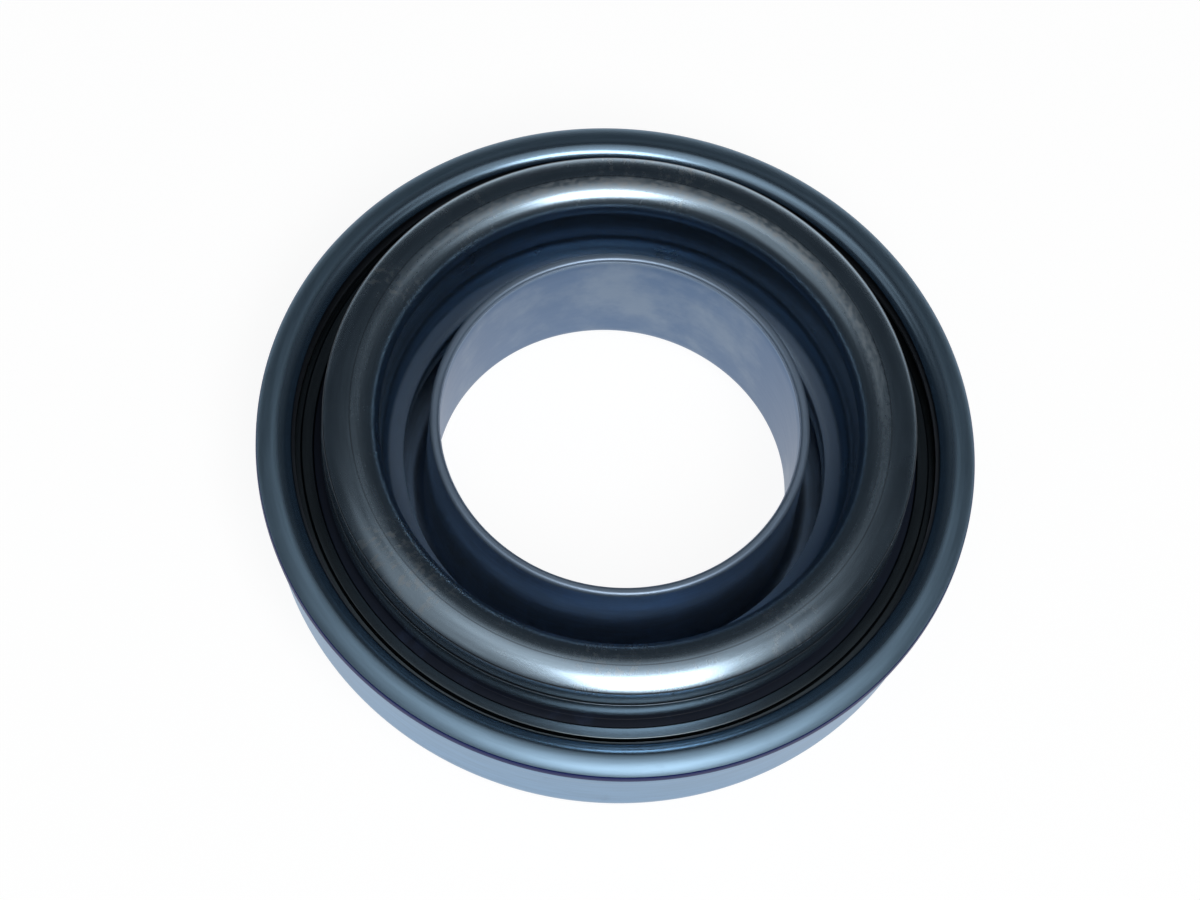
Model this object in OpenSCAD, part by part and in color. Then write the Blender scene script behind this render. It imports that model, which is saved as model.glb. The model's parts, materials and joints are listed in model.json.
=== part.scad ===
// Self-centring clutch release bearing, with its back face on Z = 0 and its axis along +Z.
// Sections are drawn as [radius, height] and turned about the axis. All sizes are in millimetres.

/* [Envelope] */
// Outer diameter of the rolled rim
rim_d = 68; // [67:0.5:76]
// Height from the back face to the crown of the contact ring
overall_h = 18.1; // [17.6:0.1:20]
// Diameter of the guide bore in the sleeve
bore_d = 33.5; // [30:0.1:34.5]
// Height from the back face to the mouth of the sleeve
sleeve_top = 16.8; // [14:0.1:18]

/* [Pressed sheet] */
// Thickness of the rim cover's sheet
rim_sheet = 0.6; // [0.5:0.05:0.7]
// Thickness of the housing's sheet
housing_sheet = 0.8; // [0.7:0.05:0.9]
// Thickness of the sleeve's wall and flange
sleeve_sheet = 1.1; // [0.9:0.05:1.4]
// Width of the rim, from its outer edge to its opening
rim_w = 3.4; // [3.2:0.1:3.6]
// Outside radius of the rim's outer slope
dome_r = 3; // [2.8:0.1:3.4]
// Outside radius of the curl at the rim's opening
curl_round = 2; // [1.8:0.1:2.2]
// Overhang of the rim past the housing's wall
rim_over = 1.6; // [1.5:0.05:1.8]
// Distance of the housing's rolled top edge behind the rim's edge
roll_back = 0.25; // [0.15:0.05:0.35]
// Outside radius of the housing's bottom fold
fold_r = 2.2; // [1.6:0.1:3]
// Inside radius of the sleeve's bend into its flange
bend_r = 1.2; // [0.6:0.1:1.6]

/* [Contact ring] */
// Distance of the nose's crown from the ring's side
crown_w = 3; // [2.4:0.1:3.4]
// Radius of the nose towards the rim
nose_outer_r = 4.8; // [4.2:0.1:5.4]
// Radius of the nose towards the sleeve
nose_inner_r = 2.4; // [2:0.1:2.8]
// Width of the well between the sleeve and the ring's lower lip
well_gap = 2.15; // [1.8:0.05:2.6]
// Radius of the hollow between the ring's inner wall and its lower lip
well_round = 3; // [2:0.1:3.4]
// Height of the lower lip's edge
lip_h = 2.9; // [2:0.1:3.4]
// Depth and width of the groove turned in the ring's side
side_groove = 0.5; // [0.3:0.05:0.6]
// Height of the side groove above the underside of the head
side_groove_h = 2.85; // [2:0.05:3.2]

/* [Balls and cage] */
// Number of balls
ball_count = 20; // [14:1:21]
// Diameter of a ball
ball_d = 4.76; // [4:0.01:5]
// Height of the balls' centres above the outer ring's back
ball_h = 6.4; // [6:0.05:7]
// Thickness of the cage's wall
cage_t = 0.8; // [0.6:0.05:0.9]
// Width of the cage's bars beyond the pockets
cage_bar = 0.5; // [0.4:0.05:0.6]
// Slope of the cage's wall from the horizontal, in degrees
cage_slope = 55; // [52:1:58]

/* [Outer ring and seals] */
// Width of the shoulder that carries the spring
shoulder_w = 1.15; // [1:0.05:1.4]
// Width of the outer ring's top edge
edge_w = 1.25; // [1:0.05:1.4]
// Height of the top edge above the shoulder
edge_h = 0.7; // [0.5:0.05:0.9]
// Thickness of the front seal
seal_t = 0.7; // [0.5:0.05:0.9]
// Thickness of the rear shield's sheet
shield_t = 0.4; // [0.3:0.05:0.5]

/* [Wave spring] */
// Thickness of the spring's sheet
spring_t = 0.45; // [0.3:0.05:0.6]
// Height of the spring as fitted
spring_h = 1.25; // [1:0.05:1.6]
// Number of waves
spring_waves = 4; // [3:1:6]

/* [Clearances] */
// Sideways travel of the bearing each way
float_travel = 0.5; // [0.3:0.05:0.6]
// Room left at the end of that travel
float_clear = 0.2; // [0.15:0.05:0.4]
// Room between faces that slide on each other
slide_clear = 0.1; // [0.05:0.05:0.2]
// Room around a ball in its race
race_clear = 0.1; // [0.06:0.01:0.14]
// Room around a ball in its pocket
pocket_clear = 0.12; // [0.08:0.01:0.2]
// Running room between the turning ring and the seals
seal_clear = 0.15; // [0.1:0.05:0.25]
// Room between the turning ring and what faces it endways
end_clear = 0.3; // [0.2:0.05:0.4]
// Room between the contact ring's head and the outer ring's edge
head_gap = 0.6; // [0.5:0.05:0.8]

/* [Hidden] */
$fn = 96;

// Overlap of a cutting shape past the face that it cuts
cut = 1;

// Radii from the rim inwards
rim_r = rim_d / 2;
rim_open_r = rim_r - rim_w;
curl_slope = 45;
curl_r = rim_open_r + curl_round * cos(curl_slope);
roll_out_r = rim_r - roll_back;
housing_r = rim_r - rim_over;
housing_in_r = housing_r - housing_sheet;
race_r = housing_in_r - float_travel - float_clear;
edge_r = race_r - shoulder_w;
seal_seat_r = edge_r - edge_w;
seat_step = 0.35;
race_bore_r = seal_seat_r - seat_step;
ball_r = ball_d / 2;
groove_r = ball_r + race_clear;
race_relief = 0.07;
pitch_r = race_bore_r - race_relief - groove_r;

// Contact ring radii
head_r = seal_seat_r - head_gap;
neck_step = 1.3;
neck_r = head_r - neck_step;
nose_r = head_r - crown_w;
well_r = nose_r - nose_inner_r;

// Sleeve, flange and the radii of the parts around the flange
bore_r = bore_d / 2;
sleeve_r = bore_r + sleeve_sheet;
race_wall = 1.2;
lip_r = min(sleeve_r + well_gap, pitch_r - groove_r - race_wall);
pocket_r = ball_r + pocket_clear;
cage_reach = pocket_r + cage_bar;
cage_foot_r = pitch_r - cage_reach * cos(cage_slope) - cage_t / 2 / sin(cage_slope);
shield_gap = 0.5;
shield_lip_r = cage_foot_r - shield_gap;
shield_in_r = shield_lip_r - shield_t;
flange_r = shield_in_r - float_travel - end_clear;
flange_seat_w = 2.4;
floor_hole_r = flange_r - flange_seat_w;

// Heights from the back face up
race_z = housing_sheet + slide_clear;
ball_z = race_z + ball_h;
contact_z = ball_z - ball_r / 2;
race_land = 0.5;
lip_z = contact_z + lip_h;
cage_rise = cage_reach * sin(cage_slope);
seal_gap = 0.25;
seal_z = ball_z + cage_rise + seal_gap;
seal_recess = 0.2;
race_top = seal_z + seal_t + seal_recess;
shoulder_z = race_top - edge_h;
curl_drop = (curl_round - rim_sheet) * (1 - sin(curl_slope));
rim_under = shoulder_z + spring_h + slide_clear + curl_drop;
rim_top = rim_under + rim_sheet;
head_z = race_top + edge_h;
head_chamfer = 0.5;
flange_z = housing_sheet;
shield_z = race_z + end_clear;

// Steps that draw one wave of the spring
wave_steps = 24;

// Small edges
edge_round = 0.2;
mouth_round = 0.35;
mouth_lead_h = 1.6;
mouth_lead = 0.2;
seal_lip_w = 0.45;

// Outer ring's bore at its back, where the rear shield is pressed in, and its rounded back corner
race_foot_out = 1;
race_foot_r = pitch_r + race_foot_out;
inner_fold_r = fold_r - housing_sheet;

function ball_name(i) = str("ball_", i < 10 ? "0" : "", i);

// Rectangle between two radii and two heights
module block(r0, r1, z0, z1) {
    translate([r0, z0])
        square([r1 - r0, z1 - z0]);
}

// Waste that rounds the corner [r, z], which points towards [sx, sz]
module round_corner(r, z, radius, sx, sz) {
    translate([r, z])
        difference() {
            translate([sx > 0 ? -radius : -cut, sz > 0 ? -radius : -cut])
                square(radius + cut);
            translate([-sx * radius, -sz * radius])
                circle(radius);
        }
}

// Ring of sheet bent to an outside radius
module bent_sheet(radius, sheet) {
    difference() {
        circle(radius);
        circle(radius - sheet);
    }
}

// Pressed cup: a floor with a round hole, a folded corner, a straight wall and a top edge rolled outwards
module housing_section() {
    difference() {
        union() {
            block(floor_hole_r, housing_r, 0, rim_under - housing_sheet / 2);
            block(housing_in_r, curl_r, 0, rim_under);
            translate([curl_r, rim_top - dome_r])
                intersection() {
                    bent_sheet(dome_r - rim_sheet, housing_sheet);
                    square([roll_out_r - curl_r, dome_r]);
                }
        }
        difference() {
            block(floor_hole_r - cut, housing_in_r, housing_sheet, rim_under + cut);
            round_corner(housing_in_r, housing_sheet, inner_fold_r, 1, -1);
        }
        round_corner(housing_r, 0, fold_r, 1, -1);
        round_corner(housing_in_r, rim_under, curl_r - housing_in_r, -1, 1);
        round_corner(floor_hole_r, 0, edge_round, -1, -1);
    }
}

// Pressed cap: an outer slope that sits on the housing's rolled edge, and a curl at its opening
module rim_cover_section() {
    translate([curl_r, rim_top - dome_r])
        intersection() {
            bent_sheet(dome_r, rim_sheet);
            square([rim_r - curl_r, dome_r]);
        }
    translate([curl_r, rim_top - curl_round])
        intersection() {
            bent_sheet(curl_round, rim_sheet);
            polygon([
                [0, 0],
                [0, curl_round],
                [-curl_round / tan(curl_slope), curl_round]
            ]);
        }
}

// Drawn tube with a bent-out flange at its foot and a lead-in at its mouth
module guide_sleeve_section() {
    flange_top = flange_z + sleeve_sheet;
    difference() {
        union() {
            block(bore_r, sleeve_r, flange_z, sleeve_top);
            block(bore_r, flange_r, flange_z, flange_top);
            difference() {
                translate([sleeve_r - edge_round, flange_top - edge_round])
                    square(bend_r + edge_round);
                translate([sleeve_r + bend_r, flange_top + bend_r])
                    circle(bend_r);
            }
        }
        round_corner(bore_r, flange_z, bend_r + sleeve_sheet, -1, -1);
        round_corner(sleeve_r, sleeve_top, mouth_round, 1, 1);
        round_corner(bore_r + mouth_lead, sleeve_top, mouth_round, -1, 1);
        polygon([
            [bore_r - cut, sleeve_top - mouth_lead_h],
            [bore_r, sleeve_top - mouth_lead_h],
            [bore_r + mouth_lead, sleeve_top],
            [bore_r + mouth_lead, sleeve_top + cut],
            [bore_r - cut, sleeve_top + cut]
        ]);
    }
}

// Stationary race: the balls bear on its lower outer quarter, and its top edge stands in the rim's opening
module outer_ring_section() {
    relief_z = ball_z + edge_round;
    difference() {
        polygon([
            [race_foot_r, race_z],
            [race_r, race_z],
            [race_r, shoulder_z],
            [edge_r, shoulder_z],
            [edge_r, race_top],
            [seal_seat_r, race_top],
            [seal_seat_r, seal_z],
            [race_bore_r, seal_z],
            [race_bore_r, relief_z],
            [pitch_r + ball_r / 2, relief_z],
            [race_foot_r, ball_z - ball_r / 2]
        ]);
        translate([pitch_r, ball_z])
            circle(groove_r);
        round_corner(edge_r, race_top, edge_round, 1, 1);
        round_corner(seal_seat_r, race_top, edge_round, -1, 1);
        round_corner(race_r, race_z, inner_fold_r, 1, -1);
        round_corner(race_r, shoulder_z, edge_round, 1, 1);
    }
}

// Seal ring pressed into the outer ring, with a lip that stands up beside the turning neck
module front_seal_section() {
    lip_r0 = neck_r + seal_clear;
    lip_top = head_z - end_clear;
    polygon([
        [lip_r0, seal_z],
        [seal_seat_r, seal_z],
        [seal_seat_r, seal_z + seal_t],
        [lip_r0 + 2 * seal_lip_w, seal_z + seal_t],
        [lip_r0 + seal_lip_w, lip_top],
        [lip_r0, lip_top]
    ]);
}

// Bent ring that closes the back of the race and turns up below the contact ring
module rear_shield_section() {
    block(shield_in_r, race_foot_r, shield_z, shield_z + shield_t);
    block(shield_in_r, shield_lip_r, shield_z, contact_z - end_clear);
}

// Straight wall that crosses the balls' pitch circle on a slope
module cage_section() {
    intersection() {
        translate([pitch_r, ball_z])
            rotate(cage_slope)
                square([4 * cage_reach, cage_t], center = true);
        block(pitch_r - 2 * cage_reach, pitch_r + 2 * cage_reach, ball_z - cage_rise, ball_z + cage_rise);
    }
}

// Turned inner ring: raceway, hollowed lower lip, neck, grooved head and a nose of two radii
module contact_ring_section() {
    side_z = head_z + head_chamfer;
    nose_inner_z = overall_h - nose_inner_r;
    groove_z = head_z + side_groove_h;
    difference() {
        union() {
            polygon([
                [lip_r, contact_z],
                [pitch_r - ball_r + race_land, contact_z],
                [neck_r, ball_z + ball_r / 2],
                [neck_r, head_z],
                [head_r - head_chamfer, head_z],
                [head_r, side_z],
                [nose_r, side_z],
                [nose_r, nose_inner_z],
                [well_r, nose_inner_z],
                [well_r, lip_z],
                [lip_r, lip_z]
            ]);
            difference() {
                block(lip_r, well_r + edge_round, lip_z - edge_round, lip_z + well_round);
                translate([well_r - well_round, lip_z + well_round])
                    circle(well_round);
            }
            intersection() {
                translate([nose_r, overall_h - nose_outer_r])
                    circle(nose_outer_r);
                block(nose_r, head_r, side_z, overall_h);
            }
            intersection() {
                translate([nose_r, nose_inner_z])
                    circle(nose_inner_r);
                block(well_r, nose_r, nose_inner_z, overall_h);
            }
        }
        translate([pitch_r, ball_z])
            circle(groove_r);
        block(head_r - side_groove, head_r + cut, groove_z, groove_z + side_groove);
    }
}

module housing() {
    color("#8fa6b5")
        rotate_extrude()
            housing_section();
}

module rim_cover() {
    color("#4a5866")
        rotate_extrude()
            rim_cover_section();
}

module guide_sleeve() {
    color("#6f8496")
        rotate_extrude()
            guide_sleeve_section();
}

module outer_ring() {
    color("#55646f")
        rotate_extrude()
            outer_ring_section();
}

module front_seal() {
    color("#1b2026")
        rotate_extrude()
            front_seal_section();
}

module rear_shield() {
    color("#6a747c")
        rotate_extrude()
            rear_shield_section();
}

module contact_ring() {
    color("#46535f")
        rotate_extrude()
            contact_ring_section();
}

module ball_cage() {
    color("#3a3f44")
        difference() {
            rotate_extrude()
                cage_section();
            for (i = [1 : ball_count])
                at_ball(i)
                    sphere(pocket_r);
        }
}

module at_ball(i) {
    rotate([0, 0, 360 * (i - 1) / ball_count])
        translate([pitch_r, 0, ball_z])
            children();
}

module ball(i) {
    color("#c9ced2")
        at_ball(i)
            sphere(ball_r);
}

// Washer swept round the axis on a sine wave, guided by the housing's wall
module wave_spring() {
    steps = wave_steps * spring_waves;
    spring_in_r = edge_r + float_travel + slide_clear;
    spring_out_r = housing_in_r - slide_clear;
    mid_z = shoulder_z + (spring_h + slide_clear) / 2;
    swing = (spring_h - spring_t) / 2;
    corners = [
        [spring_in_r, -spring_t / 2],
        [spring_out_r, -spring_t / 2],
        [spring_out_r, spring_t / 2],
        [spring_in_r, spring_t / 2]
    ];
    points = [
        for (s = [0 : steps - 1], c = corners)
            let (a = 360 * s / steps)
                [c[0] * cos(a), c[0] * sin(a), mid_z + c[1] + swing * sin(spring_waves * a)]
    ];
    sides = [
        for (s = [0 : steps - 1], c = [0 : 3])
            let (n = (s + 1) % steps, d = (c + 1) % 4)
                [4 * s + c, 4 * s + d, 4 * n + d, 4 * n + c]
    ];
    color("#2e3338")
        polyhedron(points, sides, convexity = 6);
}

housing();
rim_cover();
guide_sleeve();
wave_spring();
outer_ring();
front_seal();
rear_shield();
ball_cage();
contact_ring();
for (i = [1 : ball_count])
    ball(i);
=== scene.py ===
"""Finishes and studio stage for a clutch release bearing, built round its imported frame."""
import json
import math

import bmesh
import bpy
from bpy.props import FloatProperty, FloatVectorProperty, IntProperty, PointerProperty
from mathutils import Matrix, Vector

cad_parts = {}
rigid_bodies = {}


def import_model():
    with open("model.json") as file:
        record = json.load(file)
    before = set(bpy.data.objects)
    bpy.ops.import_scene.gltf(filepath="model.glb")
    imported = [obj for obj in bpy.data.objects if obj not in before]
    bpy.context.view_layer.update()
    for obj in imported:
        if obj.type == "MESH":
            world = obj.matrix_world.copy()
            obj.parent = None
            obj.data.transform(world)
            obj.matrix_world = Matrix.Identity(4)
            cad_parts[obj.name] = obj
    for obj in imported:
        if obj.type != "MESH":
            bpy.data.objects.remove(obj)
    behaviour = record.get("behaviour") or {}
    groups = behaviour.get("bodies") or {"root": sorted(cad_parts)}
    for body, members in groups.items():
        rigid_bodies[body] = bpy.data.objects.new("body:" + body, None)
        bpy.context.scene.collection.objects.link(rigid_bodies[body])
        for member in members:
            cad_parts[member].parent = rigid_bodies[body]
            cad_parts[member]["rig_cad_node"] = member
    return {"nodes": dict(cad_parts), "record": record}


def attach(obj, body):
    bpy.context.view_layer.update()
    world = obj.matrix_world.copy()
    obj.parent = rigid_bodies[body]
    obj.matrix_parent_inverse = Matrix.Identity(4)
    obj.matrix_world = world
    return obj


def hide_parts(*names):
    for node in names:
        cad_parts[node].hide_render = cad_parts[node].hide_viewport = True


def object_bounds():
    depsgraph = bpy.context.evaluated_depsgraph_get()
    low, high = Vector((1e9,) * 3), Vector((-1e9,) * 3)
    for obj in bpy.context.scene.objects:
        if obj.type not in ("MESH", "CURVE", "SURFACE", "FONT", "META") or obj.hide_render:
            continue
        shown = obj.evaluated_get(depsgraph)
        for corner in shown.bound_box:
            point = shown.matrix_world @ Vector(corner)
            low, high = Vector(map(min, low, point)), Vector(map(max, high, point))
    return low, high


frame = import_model()
cad_low, cad_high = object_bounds()

bl_info = {
    "name": "Clutch Release Bearing",
    "version": (1, 0, 0),
    "blender": (4, 5, 0),
    "location": "3D View > Sidebar > Bearing",
    "description": "Turns, finishes and stages a self-centring clutch release bearing",
    "category": "Object",
}

MM = 0.001
MERGE = 0.000001
PHOTO_W = 1200
PHOTO_H = 900
CLIP_START = 0.01

# Rounds on the edges
ROUND_SEGMENTS = 3
ROUND_ANGLE = math.radians(24)
SMOOTH_ANGLE = math.radians(32)

# Grain of the noises, along and across the ring
HEIGHT_SLANT = 0.73
LINE_GRAIN = {"Around": 5.0, "Across": 3200.0, "Detail": 4.0}
SHADE_GRAIN = {"Around": 2.2, "Across": 700.0, "Detail": 3.0}
RUB_GRAIN = {"Around": 44.0, "Across": 2600.0, "Detail": 6.0}
MOTTLE_GRAIN = {"Around": 50.0, "Across": 1500.0, "Detail": 3.0}
PATCH_GRAIN = {"Around": 2.6, "Across": 40.0, "Detail": 2.0}
RUBBER_GRAIN = {"Around": 4.0, "Across": 2600.0, "Detail": 3.0}

# Part of each noise that its mark is eased over
LINE_SPREAD = (0.3, 0.7)
GLOSS_SPREAD = (0.25, 0.75)
SHADE_SPREAD = (0.35, 0.75)
RUB_SPREAD = (0.34, 0.66)
PATCH_SPREAD = (0.46, 0.66)
MOTTLE_SPREAD = (0.48, 0.74)
SPECKLE_SPREAD = (0.62, 0.76)
SIDE_SPREAD = (0.1, 0.95)

# What the eased noises run between
LINE_GLOSS = (0.96, 1.05)
RUB_WEAR = (0.25, 1.0)
SIDE_WEAR = (0.06, 1.0)
RUBBER_GLOSS = (0.42, 0.62)
CAGE_GLOSS = (0.4, 0.55)

# Blotches start lower and cover more as their amount grows
BLOTCH = {"Detail": 6.0, "Roughness": 0.62}
BLOTCH_START = 0.78
BLOTCH_REACH = 0.4
BLOTCH_FADE = 0.22
SPECKLE = {"Scale": 5200.0, "Detail": 2.0, "Roughness": 0.7}

# Size of the stains, and how much they cover
STEEL_STAIN = {"Scale": 210.0, "Amount": 0.45}
SLEEVE_STAIN = {"Scale": 95.0, "Amount": 0.75}
RUBBER_STAIN = {"Scale": 420.0, "Amount": 0.6}
CAGE_STAIN = {"Scale": 600.0, "Amount": 0.7}

# Depth of the fine lines and pits, in metres
BALL_LINES = 0.1e-6
FINE_LINES = 0.3e-6
SLEEVE_LINES = 0.5e-6
PLATE_LINES = 0.8e-6
SHEET_LINES = 1.0e-6
RUBBER_LINES = 4e-6
CAGE_PITS = 3e-6

# Share of each mark's colour where it is strongest
SHADE_MOST = 0.3
STAIN_MOST = 0.28
# Also the share of the painted highlight on the sleeve's mouth
HAZE_AND_HIGHLIGHT_MOST = 0.6
WORN_MOST = 0.6
SCUFF_MOST = 0.4
SCORE_MOST = 0.5
# Painted shade in the nose's groove
GROOVE_SHADE_MOST = 0.85
# Painted shade on the nose's outer edge
LEDGE_SHADE_MOST = 0.9

# What the steel is, and what the marks take from it
STEEL_METAL = 0.99
# Less metal for the painted highlight on the sleeve's mouth
MOUTH_HIGHLIGHT_METAL = -0.25
WORN_METAL = -0.25
SCUFF_METAL = -0.08
FILM_METAL = -0.2

# Tones of lines and dust against the tone under them
LINE_LIGHT = 1.06
LINE_DARK = 0.9
RUBBER_DUST = 2.2
CAGE_DUST = 1.6

# Shine of the rubber
RUBBER_SHINE = 0.2

# Lamps and what is set for each
LAMPS = ("key", "soft", "top")
LAMP_PARTS = ("azimuth", "elevation", "reach", "w", "h", "power")

# Floor
FLOOR_GAP = 0.02 * MM
FLOOR_ROUGH = 0.9
FLOOR_WHITE = 1.08


def tone(name, description, default):
    """One colour setting."""
    return FloatVectorProperty(
        name=name, description=description, default=default, subtype="COLOR", size=3, min=0.0, max=1.0
    )


def length(name, description, default):
    """One length setting, in metres."""
    return FloatProperty(
        name=name, description=description, default=default, unit="LENGTH", subtype="DISTANCE", precision=5
    )


def angle(name, description, degrees):
    """One angle setting."""
    return FloatProperty(
        name=name, description=description, default=math.radians(degrees), unit="ROTATION", subtype="ANGLE"
    )


def share(name, description, default):
    """One setting from 0 to 1."""
    return FloatProperty(
        name=name, description=description, default=default, subtype="FACTOR", min=0.0, max=1.0
    )


def pixels(name, description, default):
    """One place in the photograph, in its pixels."""
    return FloatProperty(name=name, description=description, default=default, subtype="PIXEL")


def watts(name, description, default):
    """One lamp's power."""
    return FloatProperty(name=name, description=description, default=default, unit="POWER", min=0.0)


class BearingSizes(bpy.types.PropertyGroup):
    """Steps and edges of the turned pieces."""

    steps: IntProperty(name="Steps", description="Steps round each turned piece", default=288, min=48)
    edge: length("Edge", "Width of the small round on sheet edges", 0.09 * MM)
    fine_edge: length("Fine edge", "Width of the small round on the edges of rings and seals", 0.05 * MM)


class BearingMarks(bpy.types.PropertyGroup):
    """Places of the marks. Each is a band with a half width and a fade beyond it."""

    # Band of the rim's cut edge: a dark blue sheet edge, partly painted shade of the seam under the rim
    cut_edge_shade_w: length("Cut edge", "Half width and fade of the rim's blued edge", 0.045 * MM)
    # Inside this slope the rim takes the curl tone, which is painted shade
    slope_w: length("Slope width", "Width of the rim's dull outer slope", 1.54 * MM)
    slope_fade: length("Slope fade", "Fade of that slope", 0.66 * MM)
    # This and the next setting place a painted highlight on the sleeve's top edge
    mouth_highlight_h: length("Mouth height", "Height of the sleeve's pale mouth", 0.42 * MM)
    mouth_highlight_fade: length("Mouth fade", "Fade of that mouth", 0.18 * MM)
    bore_r: length("Bore radius", "Radius of the sleeve's bore", 16.75 * MM)
    # The bore band is painted shade: a darker copy of the sleeve steel
    bore_shade_w: length("Bore width", "Half width and fade of the darker steel there", 0.09 * MM)
    crown_r: length("Crown radius", "Radius of the ring of wear on the nose", 24.75 * MM)
    crown_w: length("Crown width", "Half width of that wear", 0.27 * MM)
    crown_fade: length("Crown fade", "Fade of that wear to the sides", 0.63 * MM)
    crown_h: length("Crown depth", "Depth of that wear under the top", 0.4 * MM)
    crown_drop: length("Crown drop", "Fade of that wear downwards", 0.5 * MM)
    # Real wear, made strongest towards this heading, where the paler crown is partly painted light
    worn_and_lit_side: angle("Worn side", "Heading of the most worn side of the nose", 80.0)
    dome_h: length("Dome depth", "Depth of the scuffs under the top", 0.5 * MM)
    dome_fade: length("Dome fade", "Fade of the scuffs downwards", 1.2 * MM)
    score_r: length("Score radius", "Radius of the thin dark line on the nose", 25.4 * MM)
    score_w: length("Score width", "Half width and fade of that line", 0.04 * MM)
    side_r: length("Side radius", "Radius of the contact ring's side", 27.9 * MM)
    # This and the next three settings place a painted reflection: brighter steel on the contact ring's
    # side
    side_reflection_w: length("Side width", "Half width and fade of the brighter steel there", 0.05 * MM)
    side_reflection_z: length("Side height", "Middle height of that steel", 14.6 * MM)
    side_reflection_h: length("Side half height", "Half height of that steel", 2.3 * MM)
    side_reflection_fade: length("Side fade", "Fade of that steel up and down", 0.2 * MM)
    # This and the next two settings place painted shade in the groove on the contact ring's side
    groove_drop: length("Groove drop", "Depth of the side's groove under the crown", 3.4 * MM)
    groove_shade_w: length("Groove width", "Half width of that groove", 0.3 * MM)
    groove_shade_fade: length("Groove fade", "Fade of the oil in that groove", 0.09 * MM)
    ledge_z: length("Ledge height", "Height of the edge between the nose and the side", 17.05 * MM)
    # This and the next setting place a painted dark line of shade on that edge
    ledge_shade_w: length("Ledge width", "Half width of the oil on that edge", 0.08 * MM)
    ledge_shade_fade: length("Ledge fade", "Fade of the oil on that edge", 0.05 * MM)
    lip_z: length("Lip height", "Height of the filmed lip in the well", 9.0 * MM)
    lip_h: length("Lip half height", "Half height of that film", 0.54 * MM)
    lip_fade: length("Lip fade", "Fade of that film", 0.36 * MM)


class BearingRoughness(bpy.types.PropertyGroup):
    """Roughness of the finishes, and what the marks add to it."""

    plate: share("Plate", "Housing", 0.34)
    rim: share("Rim", "Rim cover", 0.23)
    slope: share("Slope", "Added on the rim's outer slope", 0.24)
    sleeve: share("Sleeve", "Guide sleeve", 0.42)
    nose: share("Nose", "Contact ring", 0.26)
    worn: share("Worn", "Added on the worn crown", 0.16)
    scuff: share("Scuff", "Added on the scuffs", 0.05)
    race: share("Race", "Outer ring", 0.24)
    spring: share("Spring", "Wave spring", 0.38)
    shield: share("Shield", "Rear shield", 0.3)
    ball: share("Ball", "Balls", 0.07)
    stain: share("Stain", "Added by stains on steel", 0.03)


class BearingTones(bpy.types.PropertyGroup):
    """Colours of the bearing's finishes."""

    plate: tone("Plate", "Pale plating of the housing", (0.22, 0.36, 0.53))
    rim: tone("Rim", "Pressed steel of the rim cover", (0.235, 0.355, 0.47))
    # Painted shade: the curl tone is a darker copy of the rim steel, laid on the rim inside its outer
    # slope
    curl: tone("Curl", "Darker steel of the rim cover's curl", (0.215, 0.315, 0.415))
    # Dark blue of the rim's cut edge, partly painted shade of the seam under the rim
    cut: tone("Cut edge", "Blued cut edge of the rim cover's sheet", (0.005, 0.014, 0.11))
    sleeve: tone("Sleeve", "Drawn steel of the guide sleeve", (0.28, 0.4, 0.57))
    # Painted shade: a darker copy of the sleeve steel for its bore
    bore: tone("Bore", "Darker steel in the guide sleeve's bore", (0.125, 0.2, 0.33))
    # Pale film stains on the sleeve, and the painted highlight on its mouth
    haze_and_highlight: tone("Haze", "Pale film dried on the sleeve", (0.26, 0.33, 0.42))
    nose: tone("Nose", "Turned steel of the contact ring", (0.32, 0.42, 0.51))
    worn: tone("Worn", "Dull grey where the spring's fingers have rubbed", (0.40, 0.41, 0.41))
    scuff: tone("Scuff", "Pale scuffs on the nose", (0.46, 0.43, 0.39))
    # Painted reflection: a brighter copy of the nose steel for the contact ring's side
    side: tone("Side", "Brighter side of the contact ring", (0.42, 0.56, 0.69))
    film: tone("Film", "Grease film on the lip in the well", (0.3, 0.4, 0.53))
    race: tone("Race", "Ground steel of the outer ring", (0.08, 0.1, 0.115))
    # Stains and the score line, and also painted shade in the nose's groove and on its edge
    oil_and_shade: tone("Oil", "Dried oil and dust in corners", (0.05, 0.06, 0.075))
    rubber: tone("Rubber", "Rubber of the front seal", (0.005, 0.009, 0.02))
    spring: tone("Spring", "Blackened steel of the wave spring", (0.06, 0.07, 0.085))
    shield: tone("Shield", "Sheet steel of the rear shield", (0.26, 0.30, 0.34))
    cage: tone("Cage", "Glass-filled plastic of the ball cage", (0.05, 0.045, 0.038))
    ball: tone("Ball", "Polished steel of the balls", (0.55, 0.57, 0.60))


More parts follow.
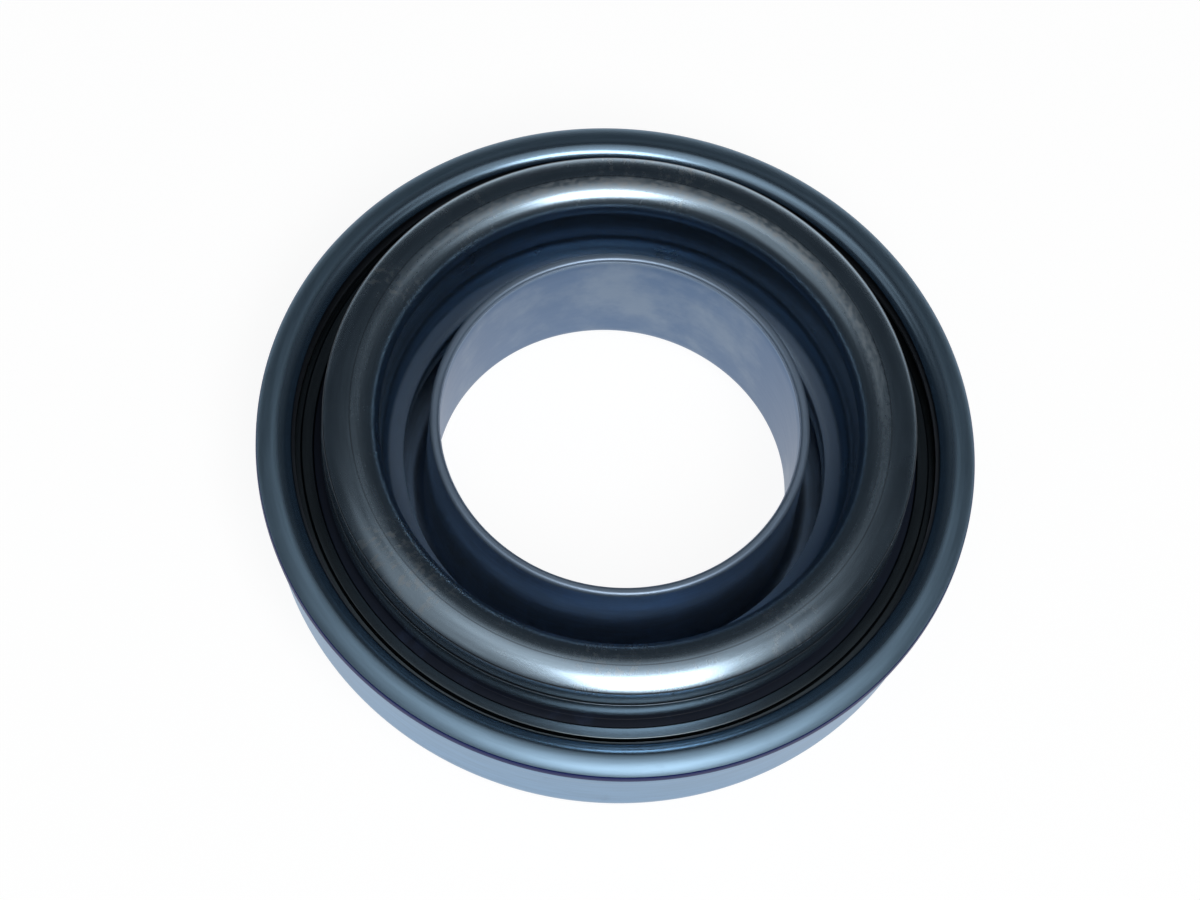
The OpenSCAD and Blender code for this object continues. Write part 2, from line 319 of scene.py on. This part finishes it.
class BearingStage(bpy.types.PropertyGroup):
    """Camera, floor and light."""

    elevation: angle("Elevation", "Height of the camera over the horizon", 64.1)
    roll: angle("Roll", "Turn of the camera about its own axis", 8.8)
    distance: length("Distance", "Distance from the camera to the bearing", 544 * MM)
    aim_z: length("Aim height", "Height of the point that the camera looks at", 11.8 * MM)
    aim_x_px: pixels("Aim X", "Column of that point in the photograph", 616.6)
    aim_y_px: pixels("Aim Y", "Row of that point in the photograph", 444.5)
    px_per_m: FloatProperty(name="Scale", description="Pixels per metre at that point", default=10600.0)
    floor_w: length("Floor width", "Width of the floor", 8.0)
    floor_tone: tone("Floor", "Pale floor", (0.9, 0.9, 0.9))
    floor_glow: share("Floor glow", "Share of the floor's own white that is seen", 0.85)
    room_tone: tone("Room", "Dim room round the stage", (0.037, 0.043, 0.05))
    key_azimuth: angle("Key azimuth", "Turn of the key light to the right of the camera", 23.5)
    key_elevation: angle("Key elevation", "Height of the key light", 57.0)
    key_reach: length("Key distance", "Distance of the key light", 0.8)
    key_w: length("Key width", "Width of the key light", 0.34)
    key_h: length("Key height", "Height of the key light", 0.42)
    key_power: watts("Key power", "Power of the key light", 2.9)
    soft_azimuth: angle("Soft azimuth", "Turn of the soft box to the right of the camera", -4.0)
    soft_elevation: angle("Soft elevation", "Height of the soft box", 68.0)
    soft_reach: length("Soft distance", "Distance of the soft box", 1.1)
    soft_w: length("Soft width", "Width of the soft box", 2.1)
    soft_h: length("Soft height", "Height of the soft box", 1.0)
    soft_power: watts("Soft power", "Power of the soft box", 2.2)
    top_azimuth: angle("Top azimuth", "Turn of the top light to the right of the camera", 8.0)
    top_elevation: angle("Top elevation", "Height of the top light", 89.0)
    top_reach: length("Top distance", "Distance of the top light", 1.0)
    top_w: length("Top width", "Width of the top light", 0.6)
    top_h: length("Top height", "Height of the top light", 0.6)
    top_power: watts("Top power", "Power of the top light", 0.6)


def sizes():
    """Settings of steps and edges."""
    return bpy.context.scene.bearing_sizes


def marks():
    """Settings of the marks' places."""
    return bpy.context.scene.bearing_marks


def roughness():
    """Settings of the finishes' roughness."""
    return bpy.context.scene.bearing_roughness


def tones():
    """Settings of the finishes' colours."""
    return bpy.context.scene.bearing_tones


def stage():
    """Settings of the camera, the floor and the lights."""
    return bpy.context.scene.bearing_stage


# Modelling

def select_only(thing):
    """Leaves one object selected and active."""
    bpy.ops.object.select_all(action="DESELECT")
    thing.select_set(True)
    bpy.context.view_layer.objects.active = thing


def select_verts(test):
    """Selects the vertices of the edited mesh whose place passes the test."""
    mesh = bpy.context.object.data
    shape = bmesh.from_edit_mesh(mesh)
    for vert in shape.verts:
        vert.select_set(test(vert.co))
    shape.select_flush_mode()
    bmesh.update_edit_mesh(mesh)


def keep_outline(node):
    """Copies a node and keeps only the outline of its section on the +X side."""
    select_only(frame["nodes"][node])
    bpy.ops.object.duplicate()
    piece = bpy.context.object
    del piece["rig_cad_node"]
    piece.data.materials.clear()
    bpy.ops.mesh.customdata_custom_splitnormals_clear()
    bpy.ops.object.mode_set(mode="EDIT")
    bpy.ops.mesh.select_mode(type="VERT")
    bpy.ops.mesh.select_all(action="SELECT")
    bpy.ops.mesh.remove_doubles(threshold=MERGE)
    select_verts(lambda place: abs(place.y) > MERGE or place.x < 0)
    bpy.ops.mesh.delete(type="VERT")
    bpy.ops.object.mode_set(mode="OBJECT")
    if len(piece.data.vertices) != len(piece.data.edges) or not piece.data.vertices:
        raise RuntimeError(f"{node} has no closed outline on the +X side")
    return piece


def spin_outline(piece):
    """Turns a closed outline round the axis into a closed ring."""
    select_only(piece)
    bpy.ops.object.mode_set(mode="EDIT")
    bpy.ops.mesh.select_all(action="SELECT")
    bpy.ops.mesh.spin(steps=sizes().steps, angle=math.tau, center=(0, 0, 0), axis=(0, 0, 1))
    bpy.ops.mesh.select_all(action="SELECT")
    bpy.ops.mesh.remove_doubles(threshold=MERGE)
    bpy.ops.mesh.normals_make_consistent(inside=False)
    bpy.ops.object.mode_set(mode="OBJECT")


def round_edges(piece, width):
    """Rounds the sharp edges a little, so that they catch the light."""
    select_only(piece)
    bevel = piece.modifiers.new("edge", "BEVEL")
    bevel.width = width
    bevel.segments = ROUND_SEGMENTS
    bevel.limit_method = "ANGLE"
    bevel.angle_limit = ROUND_ANGLE
    bpy.ops.object.modifier_apply(modifier=bevel.name)
    bpy.ops.object.shade_smooth_by_angle(angle=SMOOTH_ANGLE)


def turned_piece(name, node, body, material, edge):
    """Makes one ring from its node's section, finished and set on its body."""
    piece = keep_outline(node)
    piece.name = name
    piece.data.name = name
    spin_outline(piece)
    round_edges(piece, edge)
    piece.data.materials.append(material)
    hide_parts(node)
    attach(piece, body)


def dress_node(node, material):
    """Gives a node that keeps its own mesh a finish."""
    mesh = frame["nodes"][node].data
    mesh.materials.clear()
    mesh.materials.append(material)


# Shader building blocks

def place(tree, kind, inputs=None, **settings):
    """Adds a shader node, sets its options and fills its inputs with values or links."""
    made = tree.nodes.new(kind)
    for key, value in settings.items():
        setattr(made, key, value)
    for key, value in (inputs or {}).items():
        if isinstance(value, bpy.types.NodeSocket):
            tree.links.new(value, made.inputs[key])
        else:
            made.inputs[key].default_value = value
    return made


def math_node(tree, operation, *values):
    """Result of a Math node."""
    return place(tree, "ShaderNodeMath", dict(enumerate(values)), operation=operation).outputs[0]


def remap(tree, value, low, high, to_low=0.0, to_high=1.0):
    """Value eased from one range to another."""
    ranged = place(
        tree,
        "ShaderNodeMapRange",
        {"Value": value, "From Min": low, "From Max": high, "To Min": to_low, "To Max": to_high},
        interpolation_type="SMOOTHSTEP",
    )
    return ranged.outputs["Result"]


def blend_tone(tree, factor, first, second):
    """Two colours mixed by a factor."""
    mix = tree.nodes.new("ShaderNodeMix")
    mix.data_type = "RGBA"
    sockets = {"Factor_Float": factor, "A_Color": first, "B_Color": second}
    for socket in mix.inputs:
        value = sockets.get(socket.identifier)
        if isinstance(value, bpy.types.NodeSocket):
            tree.links.new(value, socket)
        elif value is not None:
            socket.default_value = value if isinstance(value, float) else (*value, 1.0)
    return next(s for s in mix.outputs if s.identifier == "Result_Color")


def new_group(name, inputs, outputs):
    """Empty shader group with named number inputs and outputs."""
    tree = bpy.data.node_groups.new(name, "ShaderNodeTree")
    for label, default in inputs.items():
        socket = tree.interface.new_socket(label, in_out="INPUT", socket_type="NodeSocketFloat")
        socket.default_value = default
    for label in outputs:
        tree.interface.new_socket(label, in_out="OUTPUT", socket_type="NodeSocketFloat")
    return tree, place(tree, "NodeGroupInput").outputs, place(tree, "NodeGroupOutput").inputs


def group(tree, name, inputs=None):
    """Places a group in a tree and gives its outputs."""
    made = place(tree, "ShaderNodeGroup", node_tree=bpy.data.node_groups[name])
    for key, value in (inputs or {}).items():
        made.inputs[key].default_value = value
    return made.outputs


def ring_place(tree):
    """Radius, height and heading of a point about the axis."""
    coords = place(tree, "ShaderNodeTexCoord")
    parts = place(tree, "ShaderNodeSeparateXYZ", {"Vector": coords.outputs["Object"]})
    flat = place(tree, "ShaderNodeCombineXYZ", {"X": parts.outputs["X"], "Y": parts.outputs["Y"]})
    radius = place(tree, "ShaderNodeVectorMath", {0: flat.outputs[0]}, operation="LENGTH")
    heading = place(tree, "ShaderNodeVectorMath", {0: flat.outputs[0]}, operation="NORMALIZE")
    return radius.outputs["Value"], parts.outputs["Z"], heading.outputs["Vector"]


def make_ring_noise():
    """Noise drawn out round the axis. Around and Across set its grain along and across the ring."""
    tree, given, out = new_group("Ring noise", LINE_GRAIN, ("Value",))
    radius, height, heading = ring_place(tree)
    slant = math_node(tree, "MULTIPLY_ADD", height, HEIGHT_SLANT, radius)
    lift = place(tree, "ShaderNodeCombineXYZ", {"Z": math_node(tree, "MULTIPLY", slant, given["Across"])})
    turn = place(tree, "ShaderNodeVectorMath", {0: heading, "Scale": given["Around"]}, operation="SCALE")
    spot = place(tree, "ShaderNodeVectorMath", {0: turn.outputs[0], 1: lift.outputs[0]}, operation="ADD")
    noise = place(tree, "ShaderNodeTexNoise", {
        "Vector": spot.outputs[0], "Scale": 1.0, "Detail": given["Detail"],
    })
    tree.links.new(noise.outputs["Fac"], out["Value"])


def make_ring_band():
    """Masks of a band at a radius and of a band at a height."""
    lengths = {"Radius": 20 * MM, "Height": 10 * MM, "Half width": MM, "Fade": 0.5 * MM}
    tree, given, out = new_group("Ring band", lengths, ("Radial", "Level"))
    radius, height, _ = ring_place(tree)
    edge = math_node(tree, "ADD", given["Half width"], given["Fade"])
    for label, value, centre in (("Radial", radius, "Radius"), ("Level", height, "Height")):
        away = math_node(tree, "ABSOLUTE", math_node(tree, "SUBTRACT", value, given[centre]))
        tree.links.new(remap(tree, away, edge, given["Half width"]), out[label])


def make_stain():
    """Blotches of dried oil, and a fine speckle of dust and pits."""
    tree, given, out = new_group("Stain", STEEL_STAIN, ("Blotch", "Speckle"))
    coords = place(tree, "ShaderNodeTexCoord").outputs["Object"]
    broad = place(tree, "ShaderNodeTexNoise", {
        "Vector": coords, "Scale": given["Scale"], **BLOTCH,
    })
    reach = math_node(tree, "MULTIPLY", given["Amount"], BLOTCH_REACH)
    low = math_node(tree, "SUBTRACT", BLOTCH_START, reach)
    high = math_node(tree, "ADD", low, BLOTCH_FADE)
    tree.links.new(remap(tree, broad.outputs["Fac"], low, high), out["Blotch"])
    fine = place(tree, "ShaderNodeTexNoise", {"Vector": coords, **SPECKLE})
    tree.links.new(remap(tree, fine.outputs["Fac"], *SPECKLE_SPREAD), out["Speckle"])


def make_groups():
    """Builds the shader groups that the finishes share."""
    make_ring_noise()
    make_ring_band()
    make_stain()


def new_material(name):
    """Empty node material with a Principled shader, and its tree."""
    material = bpy.data.materials.new(name)
    material.use_nodes = True
    return material, material.node_tree, material.node_tree.nodes["Principled BSDF"]


def ring_band(tree, half, fade, radius=None, height=None):
    """Mask of a band at a radius, at a height, or where the two cross."""
    centres = {"Radius": radius, "Height": height}
    given = {label: value for label, value in centres.items() if value is not None}
    masks = group(tree, "Ring band", {"Half width": half, "Fade": fade, **given})
    if height is None:
        return masks["Radial"]
    if radius is None:
        return masks["Level"]
    return math_node(tree, "MULTIPLY", masks["Radial"], masks["Level"])


def tint(tree, mask, most, colour, mark):
    """Colour with a mark's colour over it, by a mask and up to a share."""
    return blend_tone(tree, math_node(tree, "MULTIPLY", mask, most), colour, mark)


def add_by(tree, mask, amount, value):
    """Value with an amount added to it by a mask."""
    return math_node(tree, "MULTIPLY_ADD", mask, amount, value)


def bump_by(tree, shader, height):
    """Raises the surface by a height in metres."""
    bump = place(tree, "ShaderNodeBump", {"Height": height, "Strength": 1.0, "Distance": 1.0})
    tree.links.new(bump.outputs["Normal"], shader.inputs["Normal"])


def brushed_steel(name, base, rough, line_depth):
    """Steel with fine lines round the axis. Gives its material, tree, shader, colour and roughness."""
    material, tree, shader = new_material(name)
    shader.inputs["Metallic"].default_value = STEEL_METAL
    lines = group(tree, "Ring noise", LINE_GRAIN)["Value"]
    shade = group(tree, "Ring noise", SHADE_GRAIN)["Value"]
    stain = group(tree, "Stain", STEEL_STAIN)
    light = [min(1.0, c * LINE_LIGHT) for c in base]
    dark = [c * LINE_DARK for c in base]
    colour = blend_tone(tree, remap(tree, lines, *LINE_SPREAD), dark, light)
    colour = blend_tone(tree, remap(tree, shade, *SHADE_SPREAD, 0.0, SHADE_MOST), colour, dark)
    colour = tint(tree, stain["Blotch"], STAIN_MOST, colour, tones().oil_and_shade)
    gloss = remap(tree, lines, *GLOSS_SPREAD, *(rough * swing for swing in LINE_GLOSS))
    gloss = add_by(tree, stain["Blotch"], roughness().stain, gloss)
    height = math_node(tree, "MULTIPLY", lines, line_depth)
    bump_by(tree, shader, add_by(tree, stain["Speckle"], -line_depth, height))
    tree.links.new(gloss, shader.inputs["Roughness"])
    tree.links.new(colour, shader.inputs["Base Color"])
    return material, tree, shader, colour, gloss


# Finishes

def plate_finish():
    """Pale plated sheet of the housing."""
    return brushed_steel("pale_plate", tones().plate, roughness().plate, PLATE_LINES)[0]


def rim_finish():
    """Dark pressed sheet of the rim cover, with a dull outer slope, painted shade on the rim inside that
    slope, and a dark blue cut edge that is partly painted shade of the seam under the rim.
    """
    at = marks()
    material, tree, shader, colour, gloss = brushed_steel(
        "rim_steel", tones().rim, roughness().rim, FINE_LINES
    )
    # Cut edge band: dark blue sheet edge, partly painted shade of the seam under the rim
    edge = ring_band(tree, at.cut_edge_shade_w, at.cut_edge_shade_w, radius=cad_high.x)
    slope = ring_band(tree, at.slope_w, at.slope_fade, radius=cad_high.x)
    # Painted shade: the rim inside the outer slope takes the darker curl tone
    colour = blend_tone(tree, slope, tones().curl, colour)
    colour = blend_tone(tree, edge, colour, tones().cut)
    tree.links.new(colour, shader.inputs["Base Color"])
    tree.links.new(add_by(tree, slope, roughness().slope, gloss), shader.inputs["Roughness"])
    return material


def sleeve_finish():
    """Drawn tube with a painted highlight on its mouth, painted shade in its bore and a pale film dried on
    its walls.
    """
    at = marks()
    material, tree, shader, colour, _ = brushed_steel(
        "sleeve_steel", tones().sleeve, roughness().sleeve, SLEEVE_LINES
    )
    mouth_z = frame["nodes"]["guide_sleeve"].bound_box[1][2]
    mouth = ring_band(tree, at.mouth_highlight_h, at.mouth_highlight_fade, height=mouth_z)
    bore = ring_band(tree, at.bore_shade_w, at.bore_shade_w, radius=at.bore_r)
    film = group(tree, "Stain", SLEEVE_STAIN)["Blotch"]
    # Painted shade: the bore takes a darker copy of the sleeve steel
    colour = blend_tone(tree, bore, colour, tones().bore)
    colour = tint(tree, film, HAZE_AND_HIGHLIGHT_MOST, colour, tones().haze_and_highlight)
    # Painted highlight: the mouth is pale here and less metallic below
    colour = tint(tree, mouth, HAZE_AND_HIGHLIGHT_MOST, colour, tones().haze_and_highlight)
    tree.links.new(colour, shader.inputs["Base Color"])
    tree.links.new(add_by(tree, mouth, MOUTH_HIGHLIGHT_METAL, STEEL_METAL), shader.inputs["Metallic"])
    return material


def nose_wear(tree):
    """Mask of the rubbed crown, real wear that is strongest on one side of the nose, where it is partly
    painted light.
    """
    at = marks()
    crown = ring_band(tree, at.crown_w, at.crown_fade, radius=at.crown_r)
    high = ring_band(tree, at.crown_h, at.crown_drop, height=cad_high.z)
    rub = group(tree, "Ring noise", RUB_GRAIN)["Value"]
    _, _, heading = ring_place(tree)
    # Partly painted light: the wear grows towards one heading
    most = (math.cos(at.worn_and_lit_side), math.sin(at.worn_and_lit_side), 0.0)
    side = place(tree, "ShaderNodeVectorMath", {0: heading, 1: most}, operation="DOT_PRODUCT")
    worn = math_node(tree, "MULTIPLY", crown, high)
    worn = math_node(tree, "MULTIPLY", worn, remap(tree, rub, *RUB_SPREAD, *RUB_WEAR))
    faced = remap(tree, side.outputs["Value"], *SIDE_SPREAD, *SIDE_WEAR)
    return math_node(tree, "MULTIPLY", worn, faced)


def nose_scuffs(tree):
    """Mask of the mottled scuffs, which lie in patches on the dome of the nose."""
    at = marks()
    dome = ring_band(tree, at.dome_h, at.dome_fade, height=cad_high.z)
    patch = group(tree, "Ring noise", PATCH_GRAIN)["Value"]
    mottle = group(tree, "Ring noise", MOTTLE_GRAIN)["Value"]
    scuff = math_node(tree, "MULTIPLY", dome, remap(tree, patch, *PATCH_SPREAD))
    return math_node(tree, "MULTIPLY", scuff, remap(tree, mottle, *MOTTLE_SPREAD))


def nose_finish():
    """Turned ring with a scuffed nose, a dark line on it, painted shade on its outer edge and in its side
    groove, a painted reflection on its side and a filmed lip.
    """
    at = marks()
    material, tree, shader, colour, gloss = brushed_steel(
        "nose_steel", tones().nose, roughness().nose, FINE_LINES
    )
    worn = nose_wear(tree)
    scuff = nose_scuffs(tree)
    score = ring_band(tree, at.score_w, at.score_w, radius=at.score_r)
    side_reflection_mask = ring_band(tree, at.side_reflection_w, at.side_reflection_w, radius=at.side_r)
    level = ring_band(tree, at.side_reflection_h, at.side_reflection_fade, height=at.side_reflection_z)
    groove_z = cad_high.z - at.groove_drop
    groove = ring_band(tree, at.groove_shade_w, at.groove_shade_fade, radius=at.side_r, height=groove_z)
    ledge_shade = ring_band(tree, at.ledge_shade_w, at.ledge_shade_fade, radius=at.side_r, height=at.ledge_z)
    film = ring_band(tree, at.lip_h, at.lip_fade, height=at.lip_z)
    colour = tint(tree, worn, WORN_MOST, colour, tones().worn)
    colour = tint(tree, scuff, SCUFF_MOST, colour, tones().scuff)
    colour = tint(tree, score, SCORE_MOST, colour, tones().oil_and_shade)
    # Painted reflection: the contact ring's side is brighter
    colour = tint(tree, side_reflection_mask, level, colour, tones().side)
    colour = blend_tone(tree, film, colour, tones().film)
    # Painted shade: the groove is darkened
    colour = tint(tree, groove, GROOVE_SHADE_MOST, colour, tones().oil_and_shade)
    # Painted shade: a dark line on the edge between the nose and the side
    colour = tint(tree, ledge_shade, LEDGE_SHADE_MOST, colour, tones().oil_and_shade)
    tree.links.new(colour, shader.inputs["Base Color"])
    gloss = add_by(tree, worn, roughness().worn, gloss)
    gloss = add_by(tree, scuff, roughness().scuff, gloss)
    tree.links.new(gloss, shader.inputs["Roughness"])
    metal = add_by(tree, worn, WORN_METAL, STEEL_METAL)
    metal = add_by(tree, scuff, SCUFF_METAL, metal)
    tree.links.new(add_by(tree, film, FILM_METAL, metal), shader.inputs["Metallic"])
    return material


def race_finish():
    """Ground steel of the outer ring."""
    return brushed_steel("race_steel", tones().race, roughness().race, FINE_LINES)[0]


def rubber_finish():
    """Black rubber of the seal, with a dusty bloom."""
    material, tree, shader = new_material("seal_rubber")
    stain = group(tree, "Stain", RUBBER_STAIN)
    lines = group(tree, "Ring noise", RUBBER_GRAIN)["Value"]
    dusty = [c * RUBBER_DUST for c in tones().rubber]
    colour = blend_tone(tree, stain["Blotch"], tones().rubber, dusty)
    tree.links.new(colour, shader.inputs["Base Color"])
    shader.inputs["Specular IOR Level"].default_value = RUBBER_SHINE
    gloss = remap(tree, lines, *LINE_SPREAD, *RUBBER_GLOSS)
    tree.links.new(gloss, shader.inputs["Roughness"])
    bump_by(tree, shader, math_node(tree, "MULTIPLY", lines, RUBBER_LINES))
    return material


def spring_finish():
    """Blackened spring steel."""
    return brushed_steel("spring_steel", tones().spring, roughness().spring, SHEET_LINES)[0]


def shield_finish():
    """Bright sheet of the rear shield."""
    return brushed_steel("shield_sheet", tones().shield, roughness().shield, SHEET_LINES)[0]


def ball_finish():
    """Polished balls."""
    return brushed_steel("ball_steel", tones().ball, roughness().ball, BALL_LINES)[0]


def cage_finish():
    """Moulded plastic of the cage."""
    material, tree, shader = new_material("cage_plastic")
    stain = group(tree, "Stain", CAGE_STAIN)
    pale = [c * CAGE_DUST for c in tones().cage]
    colour = blend_tone(tree, stain["Blotch"], tones().cage, pale)
    tree.links.new(colour, shader.inputs["Base Color"])
    gloss = remap(tree, stain["Speckle"], 0.0, 1.0, *CAGE_GLOSS)
    tree.links.new(gloss, shader.inputs["Roughness"])
    bump_by(tree, shader, math_node(tree, "MULTIPLY", stain["Speckle"], CAGE_PITS))
    return material


# Operators

class BEARING_OT_housing(bpy.types.Operator):
    """Makes the pressed housing"""

    bl_idname = "bearing.housing"
    bl_label = "Housing"

    def execute(self, context):
        turned_piece("pressed_housing", "housing", "carrier", plate_finish(), sizes().edge)
        return {"FINISHED"}


class BEARING_OT_rim(bpy.types.Operator):
    """Makes the rolled rim cover"""

    bl_idname = "bearing.rim"
    bl_label = "Rim Cover"

    def execute(self, context):
        turned_piece("rolled_rim", "rim_cover", "carrier", rim_finish(), sizes().edge)
        return {"FINISHED"}


class BEARING_OT_sleeve(bpy.types.Operator):
    """Makes the drawn guide sleeve"""

    bl_idname = "bearing.sleeve"
    bl_label = "Guide Sleeve"

    def execute(self, context):
        turned_piece("drawn_sleeve", "guide_sleeve", "carrier", sleeve_finish(), sizes().edge)
        return {"FINISHED"}


class BEARING_OT_contact_ring(bpy.types.Operator):
    """Makes the turned contact ring"""

    bl_idname = "bearing.contact_ring"
    bl_label = "Contact Ring"

    def execute(self, context):
        turned_piece("nose_ring", "contact_ring", "contact", nose_finish(), sizes().fine_edge)
        return {"FINISHED"}


class BEARING_OT_race(bpy.types.Operator):
    """Makes the outer ring with its seal and shield"""

    bl_idname = "bearing.race"
    bl_label = "Race and Seals"

    def execute(self, context):
        turned_piece("race_ring", "outer_ring", "race", race_finish(), sizes().fine_edge)
        turned_piece("lip_seal", "front_seal", "race", rubber_finish(), sizes().fine_edge)
        turned_piece("back_shield", "rear_shield", "race", shield_finish(), sizes().fine_edge)
        return {"FINISHED"}


class BEARING_OT_inner_set(bpy.types.Operator):
    """Finishes the balls, the cage and the wave spring"""

    bl_idname = "bearing.inner_set"
    bl_label = "Balls, Cage and Spring"

    def execute(self, context):
        polished = ball_finish()
        for node in frame["record"]["behaviour"]["bodies"]["cage"]:
            if node != "ball_cage":
                dress_node(node, polished)
        dress_node("ball_cage", cage_finish())
        dress_node("wave_spring", spring_finish())
        return {"FINISHED"}


def aim(azimuth, elevation):
    """Unit vector from the bearing towards a place right of the camera and above the horizon."""
    flat = math.cos(elevation)
    return Vector((math.sin(azimuth) * flat, -math.cos(azimuth) * flat, math.sin(elevation)))


def facing(back):
    """Upright rotation whose -Z looks against back."""
    right = Vector((0, 0, 1)).cross(back).normalized()
    return Matrix((right, back.cross(right), back)).transposed()


def make_camera():
    """Sets the camera where the photograph was taken."""
    set_up = stage()
    back = aim(0.0, set_up.elevation)
    level = facing(back)
    turned = level @ Matrix.Rotation(set_up.roll, 3, "Z")
    right, up = turned.col[0], turned.col[1]
    off_x = (set_up.aim_x_px - PHOTO_W / 2) / set_up.px_per_m
    off_y = (PHOTO_H / 2 - set_up.aim_y_px) / set_up.px_per_m
    spot = Vector((0, 0, set_up.aim_z)) + back * set_up.distance - right * off_x - up * off_y
    bpy.ops.object.camera_add()
    camera = bpy.context.object
    camera.matrix_world = Matrix.Translation(spot) @ turned.to_4x4()
    camera.data.sensor_fit = "HORIZONTAL"
    camera.data.lens = set_up.px_per_m * set_up.distance * camera.data.sensor_width / PHOTO_W
    camera.data.clip_start = CLIP_START
    bpy.context.scene.camera = camera


def make_floor():
    """Lays a pale floor that shows near white and keeps the bearing's shadow."""
    bpy.ops.mesh.primitive_plane_add(size=stage().floor_w, location=(0, 0, cad_low.z - FLOOR_GAP))
    floor = bpy.context.object
    floor.name = "floor"
    material, tree, shader = new_material("pale_floor")
    shader.inputs["Base Color"].default_value = (*stage().floor_tone, 1.0)
    shader.inputs["Roughness"].default_value = FLOOR_ROUGH
    shader.inputs["Specular IOR Level"].default_value = 0.0
    glow = place(tree, "ShaderNodeEmission", {"Color": (1.0, 1.0, 1.0, 1.0), "Strength": FLOOR_WHITE})
    path = place(tree, "ShaderNodeLightPath").outputs
    seen = math_node(tree, "MAXIMUM", path["Is Camera Ray"], path["Is Glossy Ray"])
    seen = math_node(tree, "MAXIMUM", seen, path["Is Transmission Ray"])
    share = math_node(tree, "MULTIPLY", seen, stage().floor_glow)
    mix = place(tree, "ShaderNodeMixShader", {0: share, 1: shader.outputs[0], 2: glow.outputs[0]})
    tree.links.new(mix.outputs[0], tree.nodes["Material Output"].inputs["Surface"])
    floor.data.materials.append(material)


def make_lamp(name):
    """Hangs one rectangular lamp that faces the bearing, by the stage's settings for it."""
    azimuth, elevation, reach, width, height, power = (
        getattr(stage(), f"{name}_{part}") for part in LAMP_PARTS
    )
    back = aim(azimuth, elevation)
    bpy.ops.object.light_add(type="AREA")
    lamp = bpy.context.object
    lamp.name = name
    lamp.matrix_world = Matrix.Translation(back * reach) @ facing(back).to_4x4()
    lamp.data.shape = "RECTANGLE"
    lamp.data.size = width
    lamp.data.size_y = height
    lamp.data.energy = power


def make_lights():
    """Sets the key light beside the camera, a soft box round it, a top light and a dim room."""
    for name in LAMPS:
        make_lamp(name)
    world = bpy.data.worlds.new("dim_room")
    world.use_nodes = True
    world.node_tree.nodes["Background"].inputs["Color"].default_value = (*stage().room_tone, 1.0)
    bpy.context.scene.world = world


class BEARING_OT_stage(bpy.types.Operator):
    """Sets the camera, the floor and the lights"""

    bl_idname = "bearing.stage"
    bl_label = "Stage"

    def execute(self, context):
        bpy.ops.object.select_all(action="DESELECT")
        make_camera()
        make_floor()
        make_lights()
        context.scene.view_settings.view_transform = "Standard"
        return {"FINISHED"}


STEPS = (
    BEARING_OT_housing,
    BEARING_OT_rim,
    BEARING_OT_sleeve,
    BEARING_OT_contact_ring,
    BEARING_OT_race,
    BEARING_OT_inner_set,
    BEARING_OT_stage,
)


class BEARING_PT_panel(bpy.types.Panel):
    """Lists the steps that make the bearing"""

    bl_idname = "BEARING_PT_panel"
    bl_label = "Clutch Release Bearing"
    bl_space_type = "VIEW_3D"
    bl_region_type = "UI"
    bl_category = "Bearing"

    def draw(self, context):
        for step in STEPS:
            self.layout.operator(step.bl_idname)


SETTINGS = {
    "bearing_sizes": BearingSizes,
    "bearing_marks": BearingMarks,
    "bearing_roughness": BearingRoughness,
    "bearing_tones": BearingTones,
    "bearing_stage": BearingStage,
}


def register():
    """Adds the add-on's classes and settings."""
    for kind in (*SETTINGS.values(), *STEPS, BEARING_PT_panel):
        bpy.utils.register_class(kind)
    for name, kind in SETTINGS.items():
        setattr(bpy.types.Scene, name, PointerProperty(type=kind))


def unregister():
    """Removes the add-on's settings and classes."""
    for name in SETTINGS:
        delattr(bpy.types.Scene, name)
    for kind in (BEARING_PT_panel, *reversed(STEPS), *SETTINGS.values()):
        bpy.utils.unregister_class(kind)


def main():
    """Makes the bearing and its stage."""
    register()
    make_groups()
    bpy.ops.bearing.housing()
    bpy.ops.bearing.rim()
    bpy.ops.bearing.sleeve()
    bpy.ops.bearing.contact_ring()
    bpy.ops.bearing.race()
    bpy.ops.bearing.inner_set()
    bpy.ops.bearing.stage()


if __name__ == "__main__":
    main()
